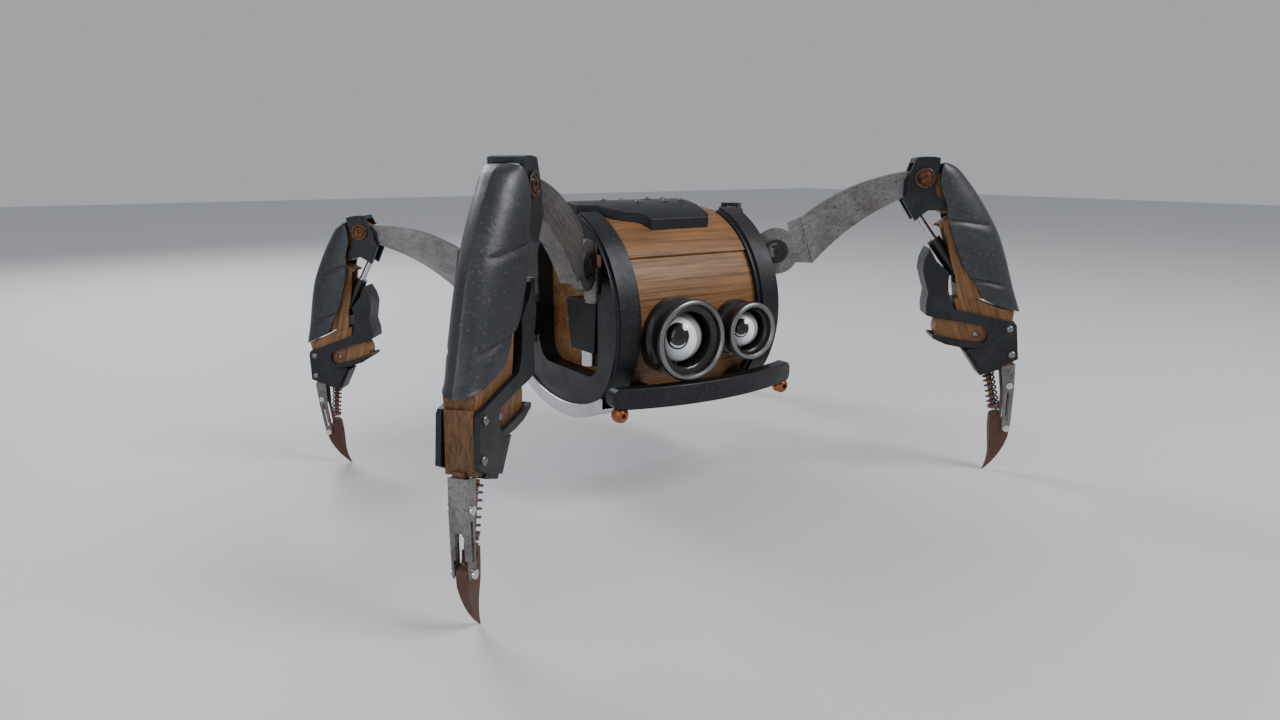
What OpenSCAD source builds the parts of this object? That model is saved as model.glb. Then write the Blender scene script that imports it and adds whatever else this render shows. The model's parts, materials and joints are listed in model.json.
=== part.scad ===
// Four-legged walking robot with a wooden drum body, a pair of eye tubes and clawed legs.
// +X is the robot's left, -Y its front, +Z up. The origin lies on the floor under its middle.
// A leg is drawn in its own upright plane: x outwards and z up from the knee pivot, y across.

/* [Stance] */
// Angle of a front leg forward of sideways, in degrees
front_yaw = 40; // [35:1:45]
// Angle of a rear leg backward of sideways, in degrees
rear_yaw = 37; // [32:1:42]
// Size of a rear leg against a front leg
rear_scale = 0.8; // [0.75:0.01:0.85]
// How far a rear leg is pitched down about its hip, in degrees
rear_droop = 8.3; // [7:0.1:9.5]

/* [Drum] */
// Outer radius of the wooden drum
drum_r = 85; // [82:1:86]
// Length of the wooden drum, from side to side
drum_len = 140; // [136:1:142]
// Height of the drum's axis above the floor
drum_z = 151; // [148:1:154]
// Wall of the drum
drum_wall = 7; // [5:0.5:9]
// Radius of the side caps
cap_r = 92; // [91:0.5:93]
// Thickness of a side cap beyond the end of the drum
cap_t = 15; // [14:0.5:16]

/* [Eyes] */
// Rim radius of the large eye tube
eye_r_large = 33; // [31:0.5:34]
// Rim radius of the small eye tube
eye_r_small = 24.5; // [23:0.5:26]

/* [Leg] */
// Thickness of the thigh blade
blade_t = 14; // [12:1:15]
// Thickness of the bracket plates beside the shin
plate_t = 3.6; // [3:0.2:4]
// Wall of the shin armour
armor_wall = 3; // [2.6:0.2:3.2]
// Radius of the knee and hip pins
pin_r = 4; // [3.5:0.25:4.5]

/* [Hidden] */
$fn = 48;
FRONT = 0;
REAR = 1;
// name, side of the robot (+1 is its left), front or rear
LEGS = [["front_left", 1, FRONT], ["front_right", -1, FRONT],
        ["rear_left", 1, REAR], ["rear_right", -1, REAR]];
LEG_PARTS = ["hip_yoke", "femur", "knee_hood", "knee_pin", "shin_core", "shin_armor",
             "shin_bracket", "ankle_channel", "strut_cylinder", "strut_rod", "claw",
             "ankle_spring"];
BODY_PARTS = ["barrel", "left_cap", "right_cap", "top_cover", "belly_pan", "bumper",
              "eye_tubes", "large_eyeball", "small_eyeball", "hip_servos", "electronics",
              "body_fasteners"];

// Places of the body's own features
stand_y = -0.44;           // moves the model so that its box is centred on the origin
drum_y = 20;               // the drum's axis, back from the middle of the feet
drum_end = drum_len / 2;
cap_out = drum_end + cap_t;
strap_in = drum_end - 9;   // inner edge of the strap round the drum
cap_open = [72, 108];      // the rim of a cap is left out over the top between these angles
cap_web = 78;              // radius of the cap's plate where its rim is left out
window_y = [-41, 62];
window_z = [104, 214];
pan_z = 62;
pan_r = 150;
pan_half = 88;

// Hips: the pitch pivot, and how far inboard of it the yaw axis stands
hip_at = [-124, -65];
foot_at = [72.6, -265];
rear_hip_z = rear_scale * ((foot_at[0] - hip_at[0]) * sin(rear_droop)
                           - (foot_at[1] - hip_at[1]) * cos(rear_droop));
front_hip = [100, -46, hip_at[1] - foot_at[1]];
rear_hip = [126.5, 90.5, rear_hip_z];
front_crank = 22.4;
rear_crank = 40.7;
arm_t = 3.6;               // thickness of a yoke's arms
front_yaw_z = 167.3;       // underside of a front yoke, just above its servo
rear_yaw_z = 158.3;        // underside of a rear yoke, just above its servo
servo_gap = 0.3;           // between a servo and the yoke that turns on it
front_yaw_at = [front_hip[0] - front_crank * cos(front_yaw),
                front_hip[1] + front_crank * sin(front_yaw)];
rear_yaw_at = [rear_hip[0] - rear_crank * cos(rear_yaw),
               rear_hip[1] - rear_crank * sin(rear_yaw)];

// Leg outline points in the leg plane
ear_r = 20.5;
ear_t = 8;
strut_top = [-2, -32];
strut_foot = [33, -80];
ankle_pin = [88.6, -223.2];
tongue_pin = [88.2, -183.3];
spring_top = [69.8, -171.4];
spring_foot = [79, -208.5];
gap = 0.3;                 // clearance between pieces that move past each other
run = 0.05;                // radial clearance of a running pin
yoke_r = ear_t / 2 + gap + arm_t;
barrel_end = 34;           // length of the strut's cylinder from its foot pivot

strut_len = norm(strut_foot - strut_top);
strut_tilt = atan2(strut_foot[0] - strut_top[0], strut_top[1] - strut_foot[1]);
spring_len = norm(spring_foot - spring_top);
spring_tilt = atan2(spring_foot[0] - spring_top[0], spring_top[1] - spring_foot[1]);

// ---- helpers -------------------------------------------------------------------------------
// Points of a circular arc from p to q that bulges to the left of the way from p to q
function arc(p, q, bulge, n = 8) =
    let (c = norm(q - p), u = (q - p) / c, left = [-u[1], u[0]],
         r = (c * c / 4 + bulge * bulge) / (2 * abs(bulge)),
         mid = (p + q) / 2 + left * (bulge - sign(bulge) * r),
         a = atan2(p[1] - mid[1], p[0] - mid[0]),
         b = atan2(q[1] - mid[1], q[0] - mid[0]),
         turn = (b - a) - 360 * round((b - a) / 360))
    [for (i = [0:n]) mid + r * [cos(a + turn * i / n), sin(a + turn * i / n)]];

// A flat outline of the leg plane made into a plate from y0 to y1
module plate(outline, y0, y1)
    translate([0, y1, 0]) rotate([90, 0, 0]) linear_extrude(y1 - y0) polygon(outline);

// The same on both sides of the leg plane
module plate_pair(outline, y0, y1) {
    plate(outline, y0, y1);
    plate(outline, -y1, -y0);
}

// A cylinder across the leg plane
module pin_y(at, r, width)
    translate([at[0], 0, at[1]]) rotate([90, 0, 0]) cylinder(h = width, r = r, center = true);

// A cylinder along X on the drum's axis
module drum_cyl(r, x0, x1)
    translate([x0, drum_y, drum_z]) rotate([0, 90, 0]) cylinder(h = x1 - x0, r = r, $fn = 96);

// A solid through rings of points that all have the same, even number of points. A ring's
// first half runs one way and its second half comes back beside it, which closes the ends.
module loft(rings) {
    n = len(rings[0]);
    m = len(rings);
    sides = [for (j = [0:m - 2], i = [0:n - 1]) let (k = (i + 1) % n)
             each [[j * n + i, j * n + k, (j + 1) * n + k],
                   [j * n + i, (j + 1) * n + k, (j + 1) * n + i]]];
    last = (m - 1) * n;
    ends = [for (i = [0:n / 2 - 2]) let (a = n - 1 - i, b = n - 2 - i)
            each [[a, b, i + 1], [a, i + 1, i],
                  [last + i, last + i + 1, last + b], [last + i, last + b, last + a]]];
    polyhedron([for (ring = rings) each ring], concat(sides, ends), convexity = 4);
}

// Puts the body's parts in the frame
module on_body() translate([0, stand_y, 0]) children();

// Puts children drawn about a hip pivot, in the leg's upright plane, on the robot
module on_hip(leg) {
    rear = leg[2] == REAR;
    on_body() mirror([leg[1] < 0 ? 1 : 0, 0, 0])
        translate(rear ? rear_hip : front_hip)
            rotate([0, 0, rear ? rear_yaw : -front_yaw])
                scale(rear ? rear_scale : 1) children();
}

// Puts children drawn about the knee pivot on the robot
module on_leg(leg)
    on_hip(leg) rotate([0, leg[2] == REAR ? rear_droop : 0, 0])
        translate([-hip_at[0], 0, -hip_at[1]]) children();

// ---- body ----------------------------------------------------------------------------------
// Wedge of the drum's cross-section between two angles, counted up from the front
module drum_wedge(a0, a1, reach, x0, x1)
    translate([x0, drum_y, drum_z]) rotate([90, 0, 90]) linear_extrude(x1 - x0)
        polygon(concat([[0, 0]], [for (i = [0:6]) let (a = a0 + (a1 - a0) * i / 6)
                                  reach * [-cos(a), sin(a)]]));

module barrel() color("peru") on_body() {
    difference() {
        drum_cyl(drum_r, -drum_end, drum_end);
        drum_cyl(drum_r - drum_wall, -drum_end + 6, drum_end - 6);
        for (eye = [large_eye, small_eye])
            translate([eye[0], eye_front, eye[1]]) rotate([-90, 0, 0])
                cylinder(h = 60, r = ball_r(eye) + 0.8, $fn = 64);
    }
    // the raised lid panel over the top
    intersection() {
        difference() {
            drum_cyl(drum_r + 2.4, -strap_in + 0.4, strap_in - 0.4);
            drum_cyl(drum_r - 1, -drum_end, drum_end);
        }
        drum_wedge(37, 143, 120, -drum_end, drum_end);
    }
}

// Side cap for the robot's left: a C of plate with a strap that laps over the drum
module cap_left() {
    lap_r = drum_r + 0.1;
    edge = 3;
    profile = concat([[lap_r, strap_in], [cap_r - edge, strap_in]],
                     arc([cap_r - edge, strap_in], [cap_r, strap_in + edge], edge * 0.41, 4),
                     arc([cap_r, cap_out - edge], [cap_r - edge, cap_out], edge * 0.41, 4),
                     [[40, cap_out], [40, drum_end + 0.1], [lap_r, drum_end + 0.1]]);
    difference() {
        translate([0, drum_y, drum_z]) rotate([0, 90, 0]) rotate_extrude($fn = 96)
            polygon(profile);
        translate([drum_end - 1, 0, 0]) window_cut(cap_t + 4);
        difference() {
            drum_wedge(cap_open[0], cap_open[1], 140, strap_in - 2, cap_out + 2);
            drum_cyl(cap_web, 0, cap_out + 5);
        }
        // seat of the belly pan
        rotate([90, 0, 90]) linear_extrude(100)
            polygon(concat(pan_arc(3.4), [[pan_y[1], 0], [pan_y[0], 0]]));
        // room for the front yoke, and above it for the thigh's ear, to turn in
        translate([front_yaw_at[0], front_yaw_at[1], 176]) cylinder(h = 31, r = 16);
        translate([front_yaw_at[0], front_yaw_at[1], 206]) cylinder(h = 10, r = 9.5);
    }
}

// Rounded window through a side cap
module window_cut(depth) {
    r = 18;
    rotate([90, 0, 90]) linear_extrude(depth) union() {
        translate([window_y[0] + r, window_z[0]])
            square([window_y[1] - window_y[0] - 2 * r, window_z[1] - window_z[0]]);
        translate([window_y[0], window_z[0] + r])
            square([window_y[1] - window_y[0], window_z[1] - window_z[0] - 2 * r]);
        for (y = [window_y[0] + r, window_y[1] - r], z = [window_z[0] + r, window_z[1] - r])
            translate([y, z]) circle(r);
    }
}

module left_cap() color("#2b2d30") on_body() cap_left();
module right_cap() color("#2b2d30") on_body() mirror([1, 0, 0]) cap_left();

// Screws that hold the top cover: x, and y from the drum's axis
cover_screws = [[-42, 0], [4, 0], [-15, -15], [-15, 15], [14, -15], [14, 15],
                [31, -15], [31, 15]];
cover_in = drum_r + 2.7;
cover_out = drum_r + 10;
cover_right = 38;
cover_half = 50;
cover_neck = 21;

module top_cover() color("#222326") on_body() {
    // half of the outline, from the straight front edge round the shoulder to the neck
    shoulder = concat(arc([-25, cover_half], [-41, cover_half - 12], 3, 5),
                      arc([-41, cover_half - 12], [-62, cover_neck + 2], -3, 5),
                      [[-80, cover_neck]]);
    half = concat([[cover_right, cover_half - 4], [cover_right - 4, cover_half]], shoulder);
    outline = concat([for (p = half) [p[0], -p[1]]],
                     [for (i = [len(half) - 1:-1:0]) half[i]]);
    intersection() {
        difference() {
            drum_cyl(cover_out, -100, 100);
            drum_cyl(cover_in, -101, 101);
        }
        translate([0, drum_y, drum_z + 40]) linear_extrude(80) polygon(outline);
    }
}

// Side view of the pan's underside, lifted by a height
pan_y = [-48, 88];
function pan_arc(lift) = [for (i = [0:12])
    let (y = pan_y[0] + (pan_y[1] - pan_y[0]) * i / 12 - drum_y)
    [y + drum_y, pan_z + lift + pan_r - sqrt(pan_r * pan_r - y * y)]];

module belly_pan() color("silver") on_body() {
    wall = concat(pan_arc(0), [for (i = [12:-1:0]) pan_arc(12)[i]]);
    floor_plate = concat(pan_arc(0), [for (i = [12:-1:0]) pan_arc(3)[i]]);
    difference() {
        union() {
            for (x = [-pan_half, cap_out + 0.1])
                translate([x, 0, 0]) rotate([90, 0, 90])
                    linear_extrude(pan_half - cap_out - 0.1) polygon(wall);
            translate([-pan_half, 0, 0]) rotate([90, 0, 90])
                linear_extrude(2 * pan_half) polygon(floor_plate);
        }
        drum_cyl(drum_r + 0.1, -cap_out - 0.05, cap_out + 0.05);
    }
}

// Bar across the lower front, bowed forwards, with its ends rounded off
bumper_half = 93;
bumper_z = [88, 105];
module bumper() color("#26282b") on_body() {
    corner = 7;
    bow = concat(arc([-bumper_half, -66], [bumper_half, -66], -19, 16),
                 arc([bumper_half, -78], [-bumper_half, -78], 19, 16));
    difference() {
        translate([0, 0, bumper_z[0]]) linear_extrude(bumper_z[1] - bumper_z[0])
            polygon(bow);
        // round the four corners of the bar as seen from the front
        for (s = [-1, 1], up = [0, 1])
            translate([s * (bumper_half - corner), -40,
                       bumper_z[up] + (up == 0 ? corner : -corner)])
                rotate([90, 0, 0]) difference() {
                    translate([s > 0 ? 0 : -corner - 1, up == 0 ? -corner - 1 : 0, 0])
                        cube([corner + 1, corner + 1, 80]);
                    translate([0, 0, -1]) cylinder(h = 82, r = corner);
                }
        drum_cyl(cap_r + 0.2, -cap_out - 10, cap_out + 10);
    }
    // mounting feet that reach back to the drum below the eyes
    difference() {
        for (x = [-52, 52])
            translate([x - 6, -82, bumper_z[0] + 2]) cube([12, 56, 9]);
        drum_cyl(drum_r + 0.1, -cap_out, cap_out);
    }
}

// Eye tubes: x, z, rim radius; both rims lie in one upright plane in front of the drum
large_eye = [-26, 139, eye_r_large];
small_eye = [37, 140, eye_r_small];
eye_front = -92;
eye_recess = 3.5;            // how far an eyeball stands back from its rim

// A spool: flange on the drum, waist, flared rim and a stepped bore for the eyeball
module eye_tube(eye) {
    r = eye[2];
    depth = 48;
    neck = ball_r(eye) + 1.6;
    outer = concat([[r * 0.98, depth], [r * 0.98, 20.5]],
                   arc([r * 0.93, 18.5], [r * 0.93, 8], -r * 0.05, 8),
                   arc([r * 0.99, 5.5], [r - 2.4, 0], 1.6, 6));
    bore = [[r - 3.4, 0], [r - 4.6, 1.4], [r - 5.2, 5.4], [neck + 1.4, 6.2], [neck, 7.4],
            [neck, depth]];
    difference() {
        translate([eye[0], eye_front, eye[1]]) rotate([-90, 0, 0]) rotate_extrude($fn = 64)
            polygon(concat(bore, outer));
        drum_cyl(drum_r + 0.1, -drum_end, drum_end);
        eye_pivot(eye, trunnion_r + run, ball_r(eye) + 6.8);
    }
}

// Upright pivot of an eyeball, over a reach above and below its middle
trunnion_r = 1.6;
module eye_pivot(eye, r, reach)
    translate([eye[0], eye_front + ball_r(eye) + eye_recess, eye[1] - reach])
        cylinder(h = 2 * reach, r = r);

module eye_tubes() color("#17181a") on_body() {
    eye_tube(large_eye);
    eye_tube(small_eye);
}

function ball_r(eye) = eye[2] * 0.645;

// An eyeball, set back from the rim, with its back in the drum's round hole
module eyeball(eye) {
    translate([eye[0], eye_front + ball_r(eye) + eye_recess, eye[1]])
        sphere(r = ball_r(eye), $fn = 64);
    eye_pivot(eye, trunnion_r, ball_r(eye) + 6.5);
}
module large_eyeball() color("whitesmoke") on_body() eyeball(large_eye);
module small_eyeball() color("whitesmoke") on_body() eyeball(small_eye);

// Yaw servos: tapered blocks, in the windows in front and on the caps behind
module hip_servos() color("#151515") on_body()
    for (side = [0, 1]) mirror([side, 0, 0]) {
        translate([drum_end + 0.1, 0, 0]) rotate([90, 0, 90]) linear_extrude(15.8)
            polygon([[-40.5, front_yaw_z - servo_gap], [9, front_yaw_z - servo_gap],
                      [2, 125], [-36, 125]]);
        translate([front_yaw_at[0] - 4.6, front_yaw_at[1] + 14, 112]) cylinder(h = 13, r = 7.4);
        translate([cap_out + 0.1, 0, 0]) rotate([90, 0, 90]) linear_extrude(18)
            polygon([[47, rear_yaw_z - servo_gap], [85, rear_yaw_z - servo_gap],
                      [81, 128], [51, 128]]);
        translate([rear_yaw_at[0], rear_yaw_at[1], 119]) cylinder(h = 9, r = 7.4);
    }

// Battery, its tray and the controller board with its standoffs, inside the drum
module electronics() color("steelblue") on_body() {
    translate([-45, -18, 90]) cube([90, 46, 28]);
    for (x = [-34, 34], y = [-10, 38])
        translate([x, y, 118]) cylinder(h = 12, r = 3);
    translate([-44, -20, 130]) cube([88, 66, 2]);
    translate([-20, 0, 132]) cube([24, 24, 4]);
    translate([14, 4, 132]) cube([14, 14, 7]);
    // hangers that carry the tray on the drum's floor
    for (x = [-30, 24]) difference() {
        translate([x, -8, 70]) cube([6, 26, 20]);
        drum_ring_cut();
    }
}
module drum_ring_cut() difference() {
    drum_cyl(drum_r + 10, -drum_end, drum_end);
    drum_cyl(drum_r - drum_wall - 0.2, -drum_end - 1, drum_end + 1);
}

nut_at = [85, -74, 83];
module body_fasteners() color("peru") on_body() {
    // button heads on the top cover, standing along the drum's radius
    for (s = cover_screws) {
        lean = asin(s[1] / cover_out);
        translate([s[0], drum_y, drum_z]) rotate([-lean, 0, 0])
            translate([0, 0, cover_out]) difference() {
                intersection() {
                    cylinder(h = 1.9, r = 2.8);
                    translate([0, 0, -2.4]) sphere(r = 4.2);
                }
                translate([0, 0, 0.9]) cylinder(h = 2, r = 1.1, $fn = 6);
            }
    }
    // faceted ball nuts under the bumper's ends
    for (x = [-nut_at[0], nut_at[0]]) translate([x, nut_at[1], nut_at[2]]) difference() {
        intersection() {
            sphere(r = 7);
            rotate([90, 0, 0]) cylinder(h = 12, r = 6.9, $fn = 8, center = true);
        }
        rotate([90, 0, 0]) cylinder(h = 20, r = 2, center = true);
        translate([0, 0, bumper_z[0] - nut_at[2]]) cylinder(h = 10, r = 10);
    }
}

// ---- hip and thigh -------------------------------------------------------------------------
// Bracket that turns on the yaw servo and holds the thigh's ear on its pressed-in pin.
// Drawn about the hip pivot; crank and drop are in the leg's own scale.
module hip_yoke(crank, drop) color("#8d9096") {
    arm_r = 8;
    arm_in = ear_t / 2 + gap;
    web_end = -ear_r - 1.3;
    arm = concat([[-crank, -22], [web_end, -22]], [for (a = [-60:15:90]) arm_r * [cos(a), sin(a)]],
                 [[web_end, 0], [-crank, -4]]);
    plate(arm, arm_in, yoke_r);
    // web behind the ear, rounded about the yaw axis and hollowed for the ear
    difference() {
        translate([0, 0, 3 - drop]) linear_extrude(drop - 7) {
            translate([-crank, 0]) circle(yoke_r);
            translate([-crank, -yoke_r]) square([crank + web_end, 2 * yoke_r]);
        }
        pin_y([0, 0], ear_r + 0.8, 2 * arm_in);
    }
    translate([-crank, 0, -drop]) cylinder(h = 3, r = 7);
    // hip pin with a socket head at each end, and a bearing ring in front of the ear
    translate([0, -arm_in, 0]) rotate([90, 0, 0]) difference() {
        cylinder(h = 2.2, r = 10.6);
        translate([0, 0, 0.9]) cylinder(h = 2, r = 7.6);
    }
    translate([0, yoke_r + 2.2, 0]) rotate([90, 0, 0]) difference() {
        union() {
            cylinder(h = yoke_r + arm_in + 2.2, r = pin_r);
            cylinder(h = 2.2, r = 6);
            translate([0, 0, yoke_r + arm_in + 3]) cylinder(h = 2.2, r = 6);
        }
        translate([0, 0, -1]) cylinder(h = 2.6, r = 2.6, $fn = 6);
        translate([0, 0, yoke_r + arm_in + 3.6]) cylinder(h = 2.6, r = 2.6, $fn = 6);
    }
}

// Arched thigh blade with a chamfered end block and the round hip ear
module femur() color("#6f6a6a") {
    top = [-104, -35];
    low = [-91.5, -75];
    blade = concat(arc(top, [-12, 5.5], 7, 10), [[-12.5, -15.5]],
                   arc([-17, -17.5], low, -5.5, 10));
    neck_in = [[-116, -45.8], [-108.5, -72]];
    chamfer = [top, low, neck_in[1] + [2, -2.6], neck_in[0] + [1.5, 6]];
    difference() {
        union() {
            plate(blade, -blade_t / 2, blade_t / 2);
            // end block, its inner edge drawn in to the ear's thickness
            plate(chamfer, -ear_t / 2, ear_t / 2);
            plate([for (p = chamfer) (p + top * 2 + low * 2) / 5],
                  -blade_t / 2 + 1, blade_t / 2 - 1);
            plate([[-124, -45], neck_in[0], neck_in[1], [-124, -85]], -ear_t / 2, ear_t / 2);
            pin_y(hip_at, ear_r, ear_t);
        }
        pin_y(hip_at, pin_r + run, 40);
        // room for the shin's eye
        pin_y([0, 0], 12.4, 40);
    }
}

// ---- knee ----------------------------------------------------------------------------------
hood_in = 9;
hood_out = 12.5;
eye_t = 2 * (hood_in - gap);
// Two cheeks over the end of the thigh, bridged above the knee, with the strut's fork below
module knee_hood() color("#232426") {
    cheek = concat([[-17, -19], [-14, -10], [-15.2, -7.5], [-12, 5]],
                   arc([-8, 16.5], [12, 17], 1.2, 6),
                   [[12.2, 11], [9.4, -8], [10.2, -14.5], [14.5, -17.6], [22.4, -19.8],
                    [22.8, -25.4], [17, -27.3], [4.6, -27.6], [0, -31.2], [-5.8, -36.8]]);
    bridge = concat(arc([-8, 16.5], [12, 17], 1.2, 6), [[11.8, 13.4], [-9.6, 12.6]]);
    difference() {
        union() {
            plate_pair(cheek, hood_in, hood_out);
            plate(bridge, -hood_in, hood_in);
            // packing between the cheeks and the thigh blade
            plate_pair([[-16.6, -15.5], [-12.6, -15.5], [-12.6, 4], [-16.6, -2]],
                       blade_t / 2, hood_in);
        }
        pin_y([0, 0], pin_r, 60);
        pin_y([0, 0], 12.2, eye_t);
    }
    // stub pins that trap the strut's eye without passing through it
    for (s = [-1, 1]) translate([strut_top[0], s * 7, strut_top[1] + 3]) rotate([90, 0, 0])
        cylinder(h = 4, r = 2.5, center = true);
}

// Pin with a round washer and a socket head at each end
module knee_pin() color("#b5552e") {
    pin_y([0, 0], pin_r, 2 * hood_out);
    for (s = [-1, 1]) {
        translate([0, s * (hood_out + 1), 0]) rotate([90, 0, 0]) difference() {
            cylinder(h = 2, r = 8.6, center = true);
            translate([0, 0, -s * 1.2]) cylinder(h = 2, r = 6.6, center = true);
        }
        translate([0, s * (hood_out + 1.3), 0]) rotate([90, 0, 0]) difference() {
            cylinder(h = 2, r = 5.2, center = true);
            translate([0, 0, -s]) cylinder(h = 2, r = 2.2, $fn = 6, center = true);
        }
    }
}

// ---- shin ----------------------------------------------------------------------------------
// Outer spine and inner rim of the armour, from the top tip down, with half the width there
armor_stations = [
    [[20, 13], [14.8, 11], 13], [[29, 8.8], [13.2, 3], 15.6], [[38, -1], [13.6, -9], 16.9],
    [[48, -14], [18, -20], 17.8], [[58.6, -30], [21.8, -33], 18.5],
    [[68.4, -47.4], [25, -47.5], 18.9], [[75.8, -66.5], [32, -64.5], 18.9],
    [[81, -82.5], [40, -80], 18.4], [[85.6, -97], [49, -91], 17.4],
    [[90.2, -109.5], [57, -103.7], 15.6], [[92.6, -116.2], [72, -110.6], 13.6]];

// One C-shaped section of the armour: the outer skin one way, the inner skin back
function armor_ring(st) =
    let (n = 8, spine = st[0], rim = st[1], w = st[2], deep = norm(spine - rim),
         u = (spine - rim) / deep, wall = min(armor_wall, deep * 0.5))
    let (skin = function (t, half, d) let (f = (1 - 0.2 * abs(t)) * pow(1 - pow(abs(t), 3.4), 0.5))
         [rim[0] + u[0] * d * f, half * t, rim[1] + u[1] * d * f])
    concat([for (i = [-n:n]) skin(i / n, w, deep)],
           [for (i = [n:-1:-n]) skin(i / n, w - wall, deep - wall)]);

module shin_armor() color("#4a4d50") loft([for (st = armor_stations) armor_ring(st)]);

// Wooden shin: knee eye, neck slotted for the strut, block, collar and tongue
module shin_core() color("sienna") {
    neck = [[-3, -9], [7, -30], [30, -30], [36, -10], [20, 0], [6, 8]];
    upper = concat([[14, -41.5], [20, -42.5], [29, -76], [33, -85], [36, -104]],
                   [[69, -104], [59, -80], [49, -54], [37.4, -31], [31, -29]]);
    collar = [[33, -104], [36, -115.5], [84.3, -124], [85, -114.5], [72, -112], [50, -104]];
    foot = concat(arc([22, -121], [21.5, -139.5], -3, 5),
                  [[58, -146], [62, -160], [80, -165.5], [88.3, -162.5], [86.5, -124],
                   [36, -115]]);
    tongue = [[83.8, -160], [90.2, -160], [90.4, -179.5], [85.2, -179.5]];
    strut_slot = [[8, -40], [30, -40], [43, -72], [43, -90], [30, -92], [10, -60]];
    // room for the strut's upper end and its stub pins when the knee folds
    strut_sweep = [[-4, -23.5], [13.5, -23.5], [17, -31], [17, -42], [-4, -42]];
    difference() {
        union() {
            pin_y([0, 0], 10, eye_t);
            plate(neck, -eye_t / 2, eye_t / 2);
            plate(upper, -11.6, 11.6);
            plate(collar, -10.4, 10.4);
            plate(foot, -9.4, 9.4);
            plate(tongue, -4.1, 4.1);
        }
        pin_y([0, 0], pin_r + run, 60);
        plate(strut_slot, -7, 7);
        plate(strut_sweep, -10, 10);
        pin_y(tongue_pin, 2.1, 20);
    }
    // pivot bolt of the strut, through both cheeks of the slot
    pin_y(strut_foot, 2.5, 23);
}

// Side plates, the guard round the strut's foot, the lower strap and the plates' screws
module shin_bracket() color("#2c2e31") {
    inside = 10.5;
    outside = inside + plate_t;
    side = concat([[33.5, -113.5], [85.2, -124.3], [87.3, -126.8], [91, -157], [79.4, -163],
                   [61.5, -169.5], [47, -149], [60, -148.4], [60.2, -143]],
                  arc([60.2, -143], [53, -127], -6.5, 6), [[39, -124.4], [17.5, -121.6],
                   [9.4, -119.2]],
                  [[8.3, -110.5], [9.6, -99], [7, -91], [3.5, -79], [4.6, -69.4], [8.4, -60],
                   [14.7, -71], [26.5, -81.5], [26.2, -89], [26.8, -97], [29.3, -106.3]]);
    strap = [[16, -136.7], [16.4, -140], [27.7, -145], [41, -147.4], [63, -148.6],
             [63, -143.6], [43, -141.6]];
    plate_pair(side, inside, outside);
    plate_pair(strap, inside, outside);
    // guard wall and strap wall that join the two sides round the inner edge
    plate([[8.3, -110.5], [9.6, -99], [7, -91], [3.5, -79], [4.6, -69.4], [8.4, -60],
           [9.6, -64], [8.2, -70], [7.2, -79], [10.6, -91], [13.2, -99], [12, -110.5],
           [13.6, -120], [9.4, -119.2]], -inside, inside);
    plate([[16, -136.7], [16.4, -140], [19.5, -141.6], [19.2, -140.2]], -inside, inside);
    // web under the shin's foot that the ankle spring bears on
    plate([[48.6, -151], [61.5, -169.5], [76, -164.6], [77, -167.6], [60.6, -173.4],
           [46, -152]], -inside, inside);
    for (s = [-1, 1], at = [[54, -136], [81.5, -130], [85.2, -153]])
        translate([at[0], s * (at[0] < 60 ? 9.5 : outside), at[1]]) rotate([s * -90, 0, 0])
            intersection() {
                cylinder(h = 2.2, r = 3);
                translate([0, 0, -2.2]) sphere(r = 4.3);
            }
}

// Slotted channel that carries the claw, pinned to the shin's tongue
module ankle_channel() color("#5b5f66") {
    inside = 4.5;
    outside = 6.2;
    side = concat([[80.4, -166], [91.7, -163.2], [92.7, -187], [92.4, -215.5], [91.7, -226.4]],
                  arc([91.7, -226.4], [85, -226], -2.6, 6), [[84, -192]]);
    spine = [[90.8, -163.4], [91.7, -163.2], [92.7, -187], [92.6, -197], [90.9, -197]];
    lip = [[90.9, -197], [92.6, -197], [92.4, -214], [90.9, -214]];
    difference() {
        union() {
            plate_pair(side, inside, outside);
            plate(spine, -inside, inside);
            plate_pair(lip, 3, inside);
        }
        plate([[87, -190], [89.6, -190], [89.4, -216], [87, -216]], -10, 10);
        pin_y(ankle_pin, 2.2, 40);
    }
    pin_y(tongue_pin, 2.1, 2 * outside);
    pin_y(ankle_pin, 2.2, 2 * outside + 1);
    for (s = [-1, 1], at = [tongue_pin, ankle_pin])
        translate([at[0], s * (outside + 0.9), at[1]]) rotate([90, 0, 0])
            cylinder(h = 1.8, r = 3, center = true);
}

// ---- knee strut ----------------------------------------------------------------------------
// The strut is drawn standing on its foot pivot, then leaned to reach the knee hood
module on_strut() translate([strut_foot[0], 0, strut_foot[1]]) rotate([0, -strut_tilt, 0])
    children();

module strut_cylinder() color("#0f0f10") on_strut() difference() {
    union() {
        cylinder(h = barrel_end, r = 6);
        sphere(r = 6);
    }
    translate([0, 0, 7]) cylinder(h = barrel_end, r = 3.3 + run);
    rotate([90, 0, 0]) cylinder(h = 20, r = 2.5 + run, center = true);
}

module strut_rod() color("#b9a48f") on_strut() {
    translate([0, 0, 19]) cylinder(h = strut_len - 19 - 2, r = 3.3);
    translate([0, 0, strut_len - 1]) sphere(r = 4);
}

// ---- foot ----------------------------------------------------------------------------------
module claw() color("#6a4a38") {
    outline = concat([[74.4, -211.6], [83.4, -211.6], [84, -217.5]],
                     arc([84.6, -218.6], [92.2, -224], 1.6, 4),
                     arc([92, -231], foot_at, 3, 8), arc(foot_at, [76, -240], -1.6, 6),
                     [[74.6, -224]]);
    taper = [[-3.9, -210], [3.9, -210], [3.7, -232], [0.9, -266], [-0.9, -266], [-3.7, -232]];
    difference() {
        intersection() {
            plate(outline, -8, 8);
            translate([50, 0, 0]) rotate([90, 0, 90]) linear_extrude(60) polygon(taper);
        }
        pin_y(ankle_pin, 2.2 + run, 20);
    }
    // spring bolt and the seat of the spring
    pin_y([79, -216], 1.8, 9.6);
    translate([79, 0, -211.5]) rotate([0, -spring_tilt, 0]) cylinder(h = 2.6, r = 4.4);
}

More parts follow.
